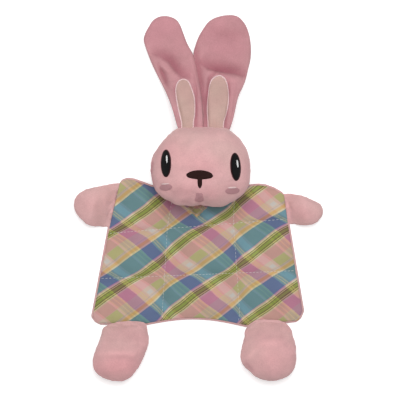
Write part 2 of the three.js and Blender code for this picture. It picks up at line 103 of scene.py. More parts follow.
INNER_EAR_LINES = {
    "ear_right": [
        (183, 79), (178.4, 81.4), (176, 88), (176.4, 98), (178.6, 110), (181.4, 122),
        (182.6, 131), (188, 132), (192.6, 131), (193.4, 122), (194.6, 114), (194.2, 98.6),
        (190.6, 86), (187.6, 80.6),
    ],
    "ear_left": [
        (220.4, 75.4), (214.2, 77.4), (210.4, 83), (208.4, 96), (207.4, 110), (208, 122),
        (209, 131), (216, 132), (222, 131), (223.4, 122), (225.6, 115), (228, 104), (228.2, 92.9),
        (225.9, 80.4),
    ],
}
LIMB_LINES = {
    "arm_right": [
        (122.5, 183), (116, 182), (108, 183), (100.8, 184.6), (90.6, 186.6), (82.4, 189.4),
        (76.2, 194), (72.6, 200.6), (72.4, 207.8), (75.6, 214.9), (80.4, 221), (86.5, 225.8),
        (94.7, 228), (104, 228.4), (112, 227.6), (115, 216), (117, 204), (119.6, 193),
    ],
    "arm_left": [
        (281, 193), (285, 192.6), (291.8, 192.2), (302, 194.3), (312, 198.4), (320.4, 202.5),
        (324.4, 207.8), (324.6, 212.9), (322, 219), (317.3, 223.8), (310, 226.3), (302, 226.9),
        (293.9, 225.8), (286.4, 225), (284.4, 222), (282.6, 214), (281.4, 203),
    ],
    "foot_right": [
        (101.8, 327), (99.4, 334), (97, 342), (93.6, 351), (91.4, 361), (93, 370), (98, 376),
        (106.5, 380.4), (115, 382.3), (124, 382), (131.4, 378), (138.4, 370), (143.4, 361),
        (147.4, 351.5), (149.7, 343), (149.2, 333), (146.4, 323), (138, 320.2), (126, 320.2),
        (112, 322),
    ],
    "foot_left": [
        (245.3, 327), (242.8, 338), (239.8, 350), (239.2, 357), (241.4, 365), (247.4, 371.4),
        (254, 377), (262.4, 380.8), (270.7, 382.1), (279, 381.2), (287, 378), (293.2, 373),
        (296.4, 366), (297.6, 358), (297.1, 346), (294.8, 336.5), (292, 327.6), (284, 320.4),
        (270, 318.4), (256, 319.2),
    ],
}
LIMBS = {  # the seam's two ends on the pattern, reach and depth in metres
    "arm_right": ((118.7, 182.5), (109.2, 227.8), 37 * MM, 21 * MM),
    "arm_left": ((284.6, 194.6), (288.6, 225), 33.5 * MM, 20 * MM),
    "foot_right": ((103, 324.4), (146.6, 321), 54 * MM, 30 * MM),
    "foot_left": ((246, 321.2), (291, 321.2), 55 * MM, 30 * MM),
}
EYES = {  # middle, half sizes, lean and the middle of the glint
    "eye_right": ((166.5, 163.9), (5.2, 13.8), 0.0, (167.8, 160)),
    "eye_left": ((235, 167.3), (5.3, 14.0), -0.06, (236.5, 164.3)),
}
CHEEKS = {  # middle, half sizes and lean
    "cheek_right": ((166.3, 187.5), (6.4, 3.4), -0.05),
    "cheek_left": ((232, 191), (7.2, 3.3), -0.08),
}
NOSE_LINE = [
    (186.4, 175.3), (188.6, 173), (193, 171.4), (199.6, 170.7), (206.4, 171.6), (210.8, 173.4),
    (212.9, 176.6), (210.6, 178.7), (205, 179.6), (199.6, 179.9), (193.6, 179.2), (188.4, 178),
]
STEM_LINE = [
    (197.6, 175), (202.2, 175), (202.1, 181), (201.8, 186), (199.8, 188.6), (197.9, 186),
    (197.5, 181),
]
MOUTH_LINE = [
    (196.4, 193.4), (199.2, 193), (202.2, 193.6), (203.2, 197), (203.6, 200.6), (199.4, 201.9),
    (194.8, 200.8), (195.6, 197),
]

# Blanket: corners of its edges on the pattern, from the shoulders to the hem
RIGHT_EDGE = [(119.4, 183), (108.9, 228), (92.2, 317.4), (97.2, 324)]
LEFT_EDGE = [(284.4, 195.2), (288.5, 225), (303.1, 311.9), (299, 321)]
COLUMNS = [0, 0.33, 0.7, 1]
RIGHT_ROWS = [183, 233.6, 279, 324]
LEFT_ROWS = [195.2, 219, 271, 321]
TOP_EDGE = [
    (119.4, 183), (122, 180.8), (127, 179.2), (133.5, 180), (142, 183), (151, 186.5), (200, 190),
    (251, 186), (259, 185.2), (266.3, 186), (274.5, 189), (281.6, 193), (284.4, 195.2),
]
HEM_RISE = 6.6  # how far the hem rises between the feet, in squares
FOOT_ENDS = (146.5, 324), (246, 326)


def colour_setting(name, description, default):
    return FloatVectorProperty(
        name=name, description=description, subtype="COLOR", size=3, default=default, min=0, max=1)


def length_setting(name, description, default, least, most):
    return FloatProperty(
        name=name, description=description, subtype="DISTANCE", unit="LENGTH",
        default=default * MM, min=least * MM, max=most * MM)


class VelourSettings(bpy.types.PropertyGroup):
    pink: colour_setting(
        "Pink", "Colour of the velour on the head, arms and feet", (0.685, 0.405, 0.405))
    ear_pink: colour_setting(
        "Ear pink", "Colour of the longer pile on the front of the ears", (0.56, 0.275, 0.30))
    beige: colour_setting("Beige", "Colour of the inner ears", (0.56, 0.365, 0.325))
    pile: length_setting("Pile", "Length of the tufts that roughen the velour", 0.35, 0, 3)


class StuffingSettings(bpy.types.PropertyGroup):
    head_depth: length_setting(
        "Head depth", "Depth of the stuffed head from back to front", 62, 20, 90)
    pressure: FloatProperty(
        name="Stuffing pressure", description="How hard the stuffing pushes the velour out",
        default=4.0, min=0, max=20)
    swell: length_setting("Most swell", "Farthest that the stuffing may move the velour", 1.5, 0, 10)
    cells: IntProperty(
        name="Cells", description="Cells across one side of a stuffed piece's mesh",
        default=36, min=8, max=80)


class BlanketSettings(bpy.types.PropertyGroup):
    loft: length_setting("Loft", "Height that the wadding lifts the middle of a pad", 3.4, 0, 8)
    pucker: length_setting("Pucker", "Height of the small puckers along the quilting", 0.8, 0, 3)
    stitch: length_setting("Stitch", "Length of one running stitch", 2.6, 1, 6)
    lip: length_setting("Lip", "How far the velour back shows beyond the plaid", 1.5, 0, 4)


class ComforterSettings(bpy.types.PropertyGroup):
    velour: PointerProperty(type=VelourSettings, name="Velour", description="Pile fabric")
    stuffing: PointerProperty(type=StuffingSettings, name="Stuffing", description="Stuffed pieces")
    blanket: PointerProperty(type=BlanketSettings, name="Blanket", description="Quilted blanket")


def spot(x, y):
    """The place in metres of a pattern square."""
    return Vector(((x - PATTERN_MIDDLE[0]) * SQUARE, (PATTERN_MIDDLE[1] - y) * SQUARE))


def mix(a, b, share):
    return a + (b - a) * share


def smooth(x):
    x = min(max(x, 0.0), 1.0)
    return x * x * (3 - 2 * x)


def bell(distance, width):
    return math.exp(-(distance / width) ** 2)


def smooth_line(points, steps=12):
    """A smooth closed line through points."""
    line = []
    for i in range(len(points)):
        a, b, c, d = (Vector(points[(i + k) % len(points)]) for k in (-1, 0, 1, 2))
        for step in range(steps):
            t = step / steps
            line.append(0.5 * (2 * b + (c - a) * t + (2 * a - 5 * b + 4 * c - d) * t * t
                               + (3 * b - a - 3 * c + d) * t ** 3))
    return line


class Outline:
    """A closed line that every ray from its middle crosses once."""

    TURNS = 1440

    def __init__(self, points, middle=None, grow=0.0):
        self.line = smooth_line([spot(*point) for point in points])
        self.middle = spot(*middle) if middle else sum(self.line, Vector((0, 0))) / len(self.line)
        rays = [point - self.middle for point in self.line]
        angles = [math.atan2(ray.y, ray.x) for ray in rays]
        reaches = [ray.length + grow for ray in rays]
        even = np.linspace(0, 2 * math.pi, self.TURNS + 1)
        self.reaches = np.interp(even, angles, reaches, period=2 * math.pi).tolist()

    def reach(self, angle):
        turns = angle / (2 * math.pi) % 1.0 * self.TURNS
        step = min(int(turns), self.TURNS - 1)
        return mix(self.reaches[step], self.reaches[step + 1], turns - step)

    def share(self, place):
        ray = Vector(place).xy - self.middle
        return ray.length / self.reach(math.atan2(ray.y, ray.x))

    def place(self, angle, share):
        return self.middle + Vector((math.cos(angle), math.sin(angle))) * self.reach(angle) * share


def segment_distance(place, start, end):
    """Distance of a place from a stretch of line, and its share along it."""
    along = end - start
    share = min(max((place - start).dot(along) / along.length_squared, 0.0), 1.0)
    return (place - start - along * share).length, share


class Fold:
    """A crease or ridge along a stretch of line. A negative height is a crease.

    Its width may differ on the side that lies to the left on the way from start to end.
    """

    def __init__(self, start, end, width, height, left_width=None, fade=0.7):
        self.start, self.end = spot(*start), spot(*end)
        self.width, self.height = width * MM, height * MM
        self.left_width, self.fade = (left_width or width) * MM, fade

    def at(self, place):
        distance, share = segment_distance(place, self.start, self.end)
        left = (self.end - self.start).cross(place - self.start) > 0
        ends = 1 - self.fade * (1 - smooth(share * 4) * smooth((1 - share) * 4))
        return self.height * bell(distance, self.left_width if left else self.width) * ends


class Crease:
    """A long soft crease through several places, which fades out toward both ends."""

    def __init__(self, points, width, height, left_width=None):
        self.line = [spot(*point) for point in points]
        self.width, self.height = width * MM, height * MM
        self.left_width = (left_width or width) * MM

    def at(self, place):
        nearest, share, side = 1.0, 0.0, 0.0
        for i, (start, end) in enumerate(zip(self.line, self.line[1:])):
            distance, part = segment_distance(place, start, end)
            if distance < nearest:
                nearest, share = distance, (i + part) / (len(self.line) - 1)
                side = (end - start).cross(place - start)
        width = self.left_width if side > 0 else self.width
        return self.height * bell(nearest, width) * math.sin(math.pi * share) ** 0.6


class Dent:
    """A round hollow or bump. A negative height is a hollow."""

    def __init__(self, x, y, width, height, tall=None):
        self.middle = spot(x, y)
        self.width, self.tall, self.height = width * MM, (tall or width) * MM, height * MM

    def at(self, place):
        away = place - self.middle
        return self.height * math.exp(-(away.x / self.width) ** 2 - (away.y / self.tall) ** 2)


def lumps(place, size, height, seed=0):
    """Soft unevenness of a stuffed surface."""
    return height * noise.noise(place / size + Vector((seed, seed, 0)))


def new_piece(name, mesh_maker, smooth_shade=True):
    mesh = bpy.data.meshes.new(name)
    mesh_maker.to_mesh(mesh)
    mesh_maker.free()
    piece = bpy.data.objects.new(name, mesh)
    bpy.context.scene.collection.objects.link(piece)
    if smooth_shade:
        mesh.shade_smooth()
    return piece


def round_grid(cells):
    """A ball of radius 1 made of six square grids, with an edge loop round its middle."""
    maker = bmesh.new()
    bmesh.ops.create_cube(maker, size=2)
    bmesh.ops.subdivide_edges(maker, edges=maker.edges[:], cuts=cells - 1, use_grid_fill=True)
    for vert in maker.verts:
        x, y, z = (math.tan(value * math.pi / 4) for value in vert.co)
        vert.co = Vector((x, y, z)).normalized()
    return maker


def pad(name, outline, seam_height, top, bottom, cells):
    """A closed pad over an outline. top and bottom give the rise at a place and a share."""
    maker = round_grid(cells)
    for vert in maker.verts:
        share = min(vert.co.xy.length, 1.0)
        place = outline.place(math.atan2(vert.co.y, vert.co.x), share)
        rise = top(place, share) if vert.co.z >= 0 else -bottom(place, share)
        vert.co = Vector((place.x, place.y, seam_height(place) + rise))
    return new_piece(name, maker)


def stuff(piece, on_seam, spare):
    """Blows a pad up from inside with its seam held, as stuffing does."""
    settings = bpy.context.scene.comforter.stuffing
    rest = [vert.co.copy() for vert in piece.data.vertices]
    held = piece.vertex_groups.new(name="seam")
    held.add([i for i, place in enumerate(rest) if on_seam(place)], 1.0, "REPLACE")
    cloth = piece.modifiers.new("stuffing", "CLOTH")
    cloth.settings.quality = 6
    cloth.settings.mass = 0.2
    cloth.settings.use_pressure = True
    cloth.settings.uniform_pressure_force = settings.pressure
    cloth.settings.shrink_min = -spare
    cloth.settings.bending_stiffness = 0.3
    cloth.settings.vertex_group_mass = held.name
    cloth.settings.effector_weights.gravity = 0
    cloth.collision_settings.use_self_collision = False
    scene = bpy.context.scene
    for frame_number in range(1, STUFFING_FRAMES + 1):
        scene.frame_set(frame_number)
    blown = piece.evaluated_get(bpy.context.evaluated_depsgraph_get())
    moved = [vert.co.copy() for vert in blown.data.vertices]
    piece.modifiers.remove(cloth)
    piece.vertex_groups.remove(held)
    for vert, start, end in zip(piece.data.vertices, rest, moved):
        step = end - start
        if step.length > settings.swell:
            step *= settings.swell / step.length
        vert.co = start + step
    scene.frame_set(1)


def move_verts(piece, place_of):
    for vert in piece.data.vertices:
        vert.co = place_of(vert.co.copy())
    piece.data.update()


def refine(piece):
    """Rounds a piece with subdivision and keeps the result in its mesh."""
    modifier = piece.modifiers.new("rounding", "SUBSURF")
    modifier.levels = modifier.render_levels = 1
    rounded = piece.evaluated_get(bpy.context.evaluated_depsgraph_get())
    mesh = bpy.data.meshes.new_from_object(rounded)
    old = piece.data
    piece.modifiers.clear()
    piece.data = mesh
    bpy.data.meshes.remove(old)
    mesh.name = piece.name
    mesh.shade_smooth()


class Ground:
    """The upper face of one or more pieces, to lay other pieces on."""

    SKY = 200 * MM

    def __init__(self, *pieces):
        graph = bpy.context.evaluated_depsgraph_get()
        self.trees = [BVHTree.FromObject(piece, graph) for piece in pieces]

    def hit(self, place):
        """The highest place of the pieces there, and its normal, or the floor's."""
        down = Vector((0, 0, -1))
        best = Vector((place.x, place.y, 0)), -down
        for tree in self.trees:
            found = tree.ray_cast(Vector((place.x, place.y, self.SKY)), down)
            if found[0] is not None and found[0].z > best[0].z:
                best = found[:2]
        return best

    def height(self, place):
        return self.hit(place)[0].z


def patch(name, outline, ground, thick, cells=16, lift=0.0):
    """An embroidered or applied patch that hugs the ground under it."""
    maker = round_grid(cells)
    for vert in maker.verts:
        share = min(vert.co.xy.length, 1.0)
        place = outline.place(math.atan2(vert.co.y, vert.co.x), share)
        foot, normal = ground.hit(place)
        if normal.z < 0:
            normal = -normal
        puff = math.sqrt(max(0.0, 1 - share ** 4))
        height = lift + thick * puff if vert.co.z >= 0 else lift - 0.6 * MM * puff
        vert.co = foot + normal * height
    return new_piece(name, maker)


def ring(name, points, radius):
    """A round cord laid along a closed row of points, as a mesh."""
    curve = bpy.data.curves.new(name, "CURVE")
    curve.dimensions = "3D"
    curve.bevel_depth = radius
    curve.bevel_resolution = 1
    line = curve.splines.new("POLY")
    line.points.add(len(points) - 1)
    for slot, point in zip(line.points, points):
        slot.co = (*point, 1)
    line.use_cyclic_u = True
    holder = bpy.data.objects.new(name, curve)
    bpy.context.scene.collection.objects.link(holder)
    graph = bpy.context.evaluated_depsgraph_get()
    mesh = bpy.data.meshes.new_from_object(holder.evaluated_get(graph))
    bpy.data.objects.remove(holder)
    bpy.data.curves.remove(curve)
    mesh.name = name
    mesh.shade_smooth()
    piece = bpy.data.objects.new(name, mesh)
    bpy.context.scene.collection.objects.link(piece)
    return piece


# Materials

def new_material(name):
    material = bpy.data.materials.new(name)
    material.use_nodes = True
    tree = material.node_tree
    return material, tree, tree.nodes["Principled BSDF"]


def add_node(tree, kind, **values):
    node = tree.nodes.new(kind)
    for name, value in values.items():
        setattr(node, name, value)
    return node


def noise_texture(tree, places, scale, detail=2.0, rough=0.5):
    node = add_node(tree, "ShaderNodeTexNoise")
    node.inputs["Scale"].default_value = scale
    node.inputs["Detail"].default_value = detail
    node.inputs["Roughness"].default_value = rough
    tree.links.new(places, node.inputs["Vector"])
    return node.outputs["Fac"]


def colour_ramp(tree, value, stops, kind="LINEAR"):
    node = add_node(tree, "ShaderNodeValToRGB")
    ramp = node.color_ramp
    ramp.interpolation = kind
    while len(ramp.elements) < len(stops):
        ramp.elements.new(1.0)
    for element, (place, colour) in zip(ramp.elements, stops):
        element.position = place
    for element, (place, colour) in zip(ramp.elements, stops):
        element.color = (*colour, 1)
    tree.links.new(value, node.inputs["Fac"])
    return node.outputs["Color"]


def maths(tree, kind, a, b=None):
    node = add_node(tree, "ShaderNodeMath", operation=kind)
    for slot, value in zip(node.inputs, (a, b)):
        if value is None:
            continue
        if isinstance(value, (int, float)):
            slot.default_value = value
        else:
            tree.links.new(value, slot)
    return node.outputs[0]


def mix_colour(tree, share, a, b, kind="MIX"):
    """Two colours mixed. A Mix node takes colours on sockets 6 and 7 and gives one on 2."""
    node = add_node(tree, "ShaderNodeMix", data_type="RGBA", blend_type=kind)
    for slot, value in ((node.inputs[0], share), (node.inputs[6], a), (node.inputs[7], b)):
        if isinstance(value, (int, float)):
            slot.default_value = value
        elif isinstance(value, tuple):
            slot.default_value = (*value, 1)
        else:
            tree.links.new(value, slot)
    return node.outputs[2]


def bump(tree, shader, heights):
    """Bumps stacked on one shader: pairs of a height socket and a distance."""
    last = None
    for height, distance in heights:
        node = add_node(tree, "ShaderNodeBump")
        node.inputs["Distance"].default_value = distance
        node.inputs["Strength"].default_value = 1.0
        tree.links.new(height, node.inputs["Height"])
        if last:
            tree.links.new(last, node.inputs["Normal"])
        last = node.outputs["Normal"]
    tree.links.new(last, shader.inputs["Normal"])


def object_places(tree):
    return add_node(tree, "ShaderNodeTexCoord").outputs["Object"]


def tone(colour, share):
    return tuple(min(1.0, value * share) for value in colour)


NAP_AND_PAINTED_LIGHT_TINTS = (  # mark left by brush(), its sign, and what it does to the colour: nap is pinker pile, crease is painted shade and, below 0, a painted highlight
    ("nap", 1, (1.04, 0.85, 0.90)), ("crease", 1, (0.68, 0.50, 0.56)),
    ("crease", -1, (1.16, 1.14, 1.14)),
)


def velour(name, colour, pile, sheen=0.35):
    """Short pile: soft mottling, a fine nap and a pale sheen at grazing angles, with painted shade and
    painted highlights where a piece carries crease marks.
    """
    material, tree, shader = new_material(name)
    places = object_places(tree)
    blotches = noise_texture(tree, places, 90, 3)
    nap = noise_texture(tree, places, 900, 2, 0.7)
    worn = noise_texture(tree, places, 28, 1)
    base = colour_ramp(tree, blotches, [(0.3, tone(colour, 0.94)), (0.7, tone(colour, 1.06))])
    warm = colour_ramp(tree, worn, [(0.35, (1, 0.98, 0.99)), (0.65, (0.97, 1.03, 1.0))])
    base = mix_colour(tree, 1.0, base, warm, "MULTIPLY")
    # the crease mark paints shade into the colour, and where it is below 0 a highlight; the nap mark
    # makes the pile pinker
    for mark_name, way, tint in NAP_AND_PAINTED_LIGHT_TINTS:
        mark = add_node(tree, "ShaderNodeAttribute", attribute_name=mark_name).outputs["Fac"]
        mark = maths(tree, "MAXIMUM", maths(tree, "MULTIPLY", mark, way), 0.0)
        base = mix_colour(tree, mark, base, mix_colour(tree, 1.0, base, tint, "MULTIPLY"))
    flecks = colour_ramp(tree, nap, [(0.35, (0.86, 0.84, 0.84)), (0.65, (1, 1, 1))])
    tree.links.new(mix_colour(tree, 0.6, base, flecks, "MULTIPLY"), shader.inputs["Base Color"])
    bump(tree, shader, [(nap, pile), (blotches, 0.3 * MM)])
    shader.inputs["Roughness"].default_value = 0.95
    shader.inputs["Specular IOR Level"].default_value = 0.15
    shader.inputs["Sheen Weight"].default_value = sheen
    shader.inputs["Sheen Roughness"].default_value = 0.45
    shader.inputs["Sheen Tint"].default_value = (1.0, 0.86, 0.86, 1)
    return material


THREAD_PITCH = 0.45 * MM


def embroidery(name, colour, across=(0, 1, 0), shine=0.25):
    """Satin stitch: fine parallel threads that run square to the given direction."""
    material, tree, shader = new_material(name)
    places = object_places(tree)
    shader.inputs["Roughness"].default_value = 0.6
    shader.inputs["Specular IOR Level"].default_value = shine
    dot = add_node(tree, "ShaderNodeVectorMath", operation="DOT_PRODUCT")
    dot.inputs[1].default_value = across
    tree.links.new(places, dot.inputs[0])
    wobble = noise_texture(tree, places, 400, 2)
    turns = maths(tree, "MULTIPLY", dot.outputs["Value"], 2 * math.pi / THREAD_PITCH)
    phase = maths(tree, "ADD", turns, maths(tree, "MULTIPLY", wobble, 2.0))
    thread = maths(tree, "ABSOLUTE", maths(tree, "SINE", phase))
    tree.links.new(colour_ramp(tree, thread, [(0, tone(colour, 0.7)), (0.6, tone(colour, 1.08))]),
                   shader.inputs["Base Color"])
    bump(tree, shader, [(thread, 0.12 * MM)])
    return material


WEAVE_PITCH = 0.9  # millimetres on the flat print


def plaid():
    """Printed madras plaid on plain weave: two sets of stripes that cross at a slant."""
    material, tree, shader = new_material("plaid")
    flat = add_node(tree, "ShaderNodeUVMap", uv_map="cut").outputs["UV"]
    bleed = noise_texture(tree, flat, 3.0, 2)
    shift = add_node(tree, "ShaderNodeVectorMath", operation="ADD")
    tree.links.new(flat, shift.inputs[0])
    tree.links.new(maths(tree, "MULTIPLY", bleed, 1.9), shift.inputs[1])
    flat = shift.outputs[0]
    # stripes of one set lie along one step of the print's lattice and repeat along the other
    across_falling, across_rising = (0.0129, -0.0179), (0.0141, 0.0174)

    def repeat(direction, offset):
        dot = add_node(tree, "ShaderNodeVectorMath", operation="DOT_PRODUCT")
        dot.inputs[1].default_value = (*direction, 0)
        tree.links.new(flat, dot.inputs[0])
        return maths(tree, "FRACT", maths(tree, "ADD", dot.outputs["Value"], offset))

    rising = repeat(across_falling, -0.518)
    falling = repeat(across_rising, 1.186)
    leaf, lime, olive = (0.37, 0.49, 0.10), (0.70, 0.76, 0.30), (0.23, 0.20, 0.08)
    salmon, chalk, sky = (0.87, 0.52, 0.54), (0.78, 0.64, 0.56), (0.18, 0.41, 0.54)
    amber, cream, slate = (0.84, 0.60, 0.28), (0.84, 0.78, 0.56), (0.58, 0.58, 0.60)
    lilac, lawn, rose = (0.63, 0.42, 0.62), (0.71, 0.66, 0.56), (0.88, 0.74, 0.68)
    white = (0.90, 0.86, 0.82)
    first = colour_ramp(tree, rising, [
        (0.0, leaf), (0.022, olive), (0.04, lime), (0.062, olive), (0.074, cream), (0.095, salmon),
        (0.29, chalk), (0.468, slate), (0.480, chalk), (0.51, amber), (0.57, cream), (0.60, sky),
        (0.88, lilac), (0.895, cream), (0.926, olive), (0.940, lime), (0.960, olive), (0.975, leaf),
    ], "CONSTANT")
    second = colour_ramp(tree, falling, [
        (0.0, rose), (0.075, white), (0.20, rose), (0.245, lawn), (0.50, rose), (0.53, cream),
        (0.55, lawn), (0.60, cream), (0.62, lawn), (0.67, cream), (0.70, rose), (0.71, lilac),
        (0.94, rose),
    ], "CONSTANT")
    both = mix_colour(tree, 1.0, first, second, "MULTIPLY")
    plain = mix_colour(tree, 0.5, first, second)
    print_colour = mix_colour(tree, 0.10, both, plain)
    print_colour = mix_colour(tree, 1.0, print_colour, (0.92, 0.91, 0.88), "MULTIPLY")
    # overprints: lime patches, white squares and thin double yellow lines
    off, on = (0, 0, 0), (1, 1, 1)

    def bands(set_of_stripes, *ends):
        stops = [(0, off)] + [(end, (on, off)[i % 2]) for i, end in enumerate(ends)]
        return colour_ramp(tree, set_of_stripes, stops, "CONSTANT")

    limes = maths(tree, "MULTIPLY", bands(rising, 0.30, 0.46), bands(falling, 0.25, 0.49))
    whites = maths(tree, "MULTIPLY", bands(rising, 0.365, 0.44), bands(falling, 0.095, 0.185))
    yellows = bands(falling, 0.014, 0.032, 0.972, 0.99)
    for mask, strength, colour in (
            (limes, 0.55, (0.42, 0.47, 0.13)), (whites, 0.9, (0.60, 0.57, 0.53)),
            (yellows, 0.42, (0.70, 0.56, 0.20))):
        share = maths(tree, "MULTIPLY", mask, strength)
        print_colour = mix_colour(tree, share, print_colour, colour)
    split = add_node(tree, "ShaderNodeSeparateXYZ")
    tree.links.new(flat, split.inputs[0])
    threads = maths(tree, "MULTIPLY", *(
        maths(tree, "SINE", maths(tree, "MULTIPLY", axis, 2 * math.pi / WEAVE_PITCH))
        for axis in split.outputs[:2]))
    faded = noise_texture(tree, flat, 0.05, 3)
    shade = colour_ramp(tree, faded, [(0.3, (0.88, 0.88, 0.88)), (0.7, (1, 1, 1))])
    tree.links.new(mix_colour(tree, 1.0, print_colour, shade, "MULTIPLY"), shader.inputs["Base Color"])
    bump(tree, shader, [(threads, 0.08 * MM), (faded, 0.2 * MM)])
    shader.inputs["Roughness"].default_value = 0.85
    shader.inputs["Specular IOR Level"].default_value = 0.25
    shader.inputs["Sheen Weight"].default_value = 0.08
    return material


def cotton_thread(name, colour):
    material, tree, shader = new_material(name)
    places = object_places(tree)
    twist = noise_texture(tree, places, 2500, 2)
    shades = colour_ramp(tree, twist, [(0.3, tone(colour, 0.8)), (0.7, colour)])
    tree.links.new(shades, shader.inputs["Base Color"])
    bump(tree, shader, [(twist, 0.05 * MM)])
    shader.inputs["Roughness"].default_value = 0.7
    return material


def brush(piece, mark, strokes):
    """Writes marks into the colour: nap where the pile lies another way, which is pinker, and crease,
    which is painted shade, darker, or, below 0, a painted highlight, paler.

    The height of a stroke is the strength of its mark, with 1 for a full one.
    """
    marks = piece.data.attributes.new(mark, "FLOAT", "POINT")
    for vert, value in zip(piece.data.vertices, marks.data):
        value.value = max(-1.0, min(1.0, sum(stroke.at(vert.co.xy) for stroke in strokes) / MM))


def use(piece, material):
    piece.data.materials.clear()
    piece.data.materials.append(material)


def comforter():
    return bpy.context.scene.comforter


def shared(name, make, *values):
    """The material of that name, made when it is first asked for."""
    return bpy.data.materials.get(name) or make(name, *values)


def pink_velour():
    settings = comforter().velour
    return shared("pink_pile", velour, tuple(settings.pink), settings.pile)


# Blanket

PAD_WIDTH = 62 * MM
PAD_HEIGHT = 0.72 * PAD_WIDTH
BACK_SIZE = 186 * MM, 130 * MM


def along(stops, share):
    place = min(max(share, 0.0), 1.0) * (len(stops) - 1)
    step = min(int(place), len(stops) - 2)
    return mix(stops[step], stops[step + 1], place - step)


def side_at(edge, y):
    for above, below in zip(edge, edge[1:]):
        if y <= below[1] or below is edge[-1]:
            return mix(above[0], below[0], (y - above[1]) / (below[1] - above[1]))
    return edge[-1][0]


def blanket_spot(u, v):
    """The pattern square of a place on the blanket: u across from its right edge, v down."""
    across = along(COLUMNS, u)
    right_y, left_y = along(RIGHT_ROWS, v), along(LEFT_ROWS, v)
    x = mix(side_at(RIGHT_EDGE, right_y), side_at(LEFT_EDGE, left_y), across)
    (start_x, start_y), (end_x, end_y) = FOOT_ENDS
    share = min(max((x - start_x) / (end_x - start_x), 0.0), 1.0)
    hem = mix(start_y, end_y, share) - HEM_RISE * math.sin(math.pi * share)
    if x < start_x:
        hem = mix(RIGHT_ROWS[-1], start_y, (x - RIGHT_EDGE[-1][0]) / (start_x - RIGHT_EDGE[-1][0]))
    if x > end_x:
        hem = mix(end_y, LEFT_ROWS[-1], (x - end_x) / (LEFT_EDGE[-1][0] - end_x))
    bottom = hem - mix(RIGHT_ROWS[-1], LEFT_ROWS[-1], across)
    top = np.interp(x, *zip(*TOP_EDGE))
    shoulder = float(top) - mix(RIGHT_ROWS[0], LEFT_ROWS[0], across)
    bend = shoulder * max(0, 1 - v * 3) + bottom * max(0, v * 3 - 2)
    return x, mix(right_y, left_y, across) + bend


def quilt_height(u, v, place):
    """Height of the plaid above the ground at a place of the blanket."""
    settings = comforter().blanket
    seams = (  # distance to the nearest one of each kind, and the place along it
        (min(abs(u * 3 - k) for k in (1, 2)) * PAD_WIDTH, place.y),
        (min(abs(v * 3 - k) for k in (1, 2)) * PAD_HEIGHT, place.x),
        (min(u, 1 - u) * 3 * PAD_WIDTH, place.y), (min(v, 1 - v) * 3 * PAD_HEIGHT, place.x),
    )
    puff, ripple = 1.0, 0.0
    for distance, run in seams:
        puff *= 1 - 0.96 * math.exp(-distance / (6.5 * MM))
        wave = noise.noise(Vector((
            run / (4.2 * MM), distance / (26 * MM), 3.1 + distance / (40 * MM))))
        held = 1 - 0.7 * math.exp(-distance / (1.2 * MM))
        ripple += wave * math.exp(-distance / (8 * MM)) * held
    inner = smooth(min(seams)[0] / (12 * MM))
    broad = lumps(Vector((place.x, place.y, 0)), 24 * MM, 0.7 * MM, 5) * inner
    return 1.9 * MM + settings.loft * puff + settings.pucker * ripple + broad


PLEATS = [
    Fold((188, 206), (195.5, 216), 1.8, 3.4), Fold((203, 205), (197.5, 216), 1.6, 2.8),
    Fold((188, 212), (196.5, 219.5), 1.4, -1.6), Fold((204, 212), (197.5, 219.5), 1.4, -1.4),
]
ARM_LIFTS = [Fold((118.6, 184), (110, 227), 7, 1.6), Fold((284.8, 196), (288.6, 224), 7, 1.6)]
PLEAT_TIP, PLEAT_TOP = (196.8, 217.2), 203


def pleat_place(co):
    """Place on the print of the fold below the chin, or None outside it."""
    tip = spot(*PLEAT_TIP)
    aside, above = abs(co.x - tip.x) / MM, (co.y - tip.y) / MM
    if above < aside * 0.92 or above > (PLEAT_TIP[1] - PLEAT_TOP) * SQUARE / MM:
        return None
    return 0.2 + aside * 2.2, -5.1 + above * 2.2


def blanket_grid(cells, height, margin=0.0):
    maker = bmesh.new()
    bmesh.ops.create_grid(maker, x_segments=cells, y_segments=int(cells * 0.8), size=0.5)
    for vert in maker.verts:
        u, v = vert.co.x + 0.5, 0.5 - vert.co.y
        place = spot(*blanket_spot(u, v))
        vert.co = Vector((place.x, place.y, height(u, v, place)))
    if margin:
        maker.normal_update()
        moves = {}
        for vert in (vert for vert in maker.verts if vert.is_boundary):
            outward = Vector((0, 0, 0))
            for edge in vert.link_edges:
                if not edge.is_boundary:
                    outward += vert.co - edge.other_vert(vert).co
            outward.z = 0
            moves[vert] = outward.normalized() * margin
        for vert, move in moves.items():
            vert.co += move
    return maker


def make_blanket():
    settings = comforter().blanket

    def front_height(u, v, place):
        return quilt_height(u, v, place) + sum(fold.at(place) for fold in PLEATS + ARM_LIFTS)

    maker = blanket_grid(200, front_height)
    cut = maker.loops.layers.uv.new("cut")
    lines = [[spot(*blanket_spot(k / 3, i / 40)) for i in range(41)] for k in (1, 2)]
    rows = [[spot(*blanket_spot(i / 40, k / 3)) for i in range(41)] for k in (1, 2)]
    for face in maker.faces:
        folded = pleat_place(face.calc_center_median())
        for loop in face.loops:
            co = loop.vert.co
            loop[cut].uv = (folded and pleat_place(co)) or folded or cut_place(co, lines, rows)
    front = new_piece("blanket_plaid", maker)
    use(front, plaid())
    thicken(front, 0.5 * MM)
    back = new_piece("blanket_velour", blanket_grid(90, back_height, settings.lip))
    use(back, pink_velour())
    thicken(back, 0.9 * MM)
    for piece, nodes in ((front, ("blanket_front", "blanket_wadding")), (back, ("blanket_back",))):
        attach(piece, "blanket")
        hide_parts(*nodes)
    return front


PRINT_SCALE, PRINT_MIDDLE = (0.92, 0.90), -49.6


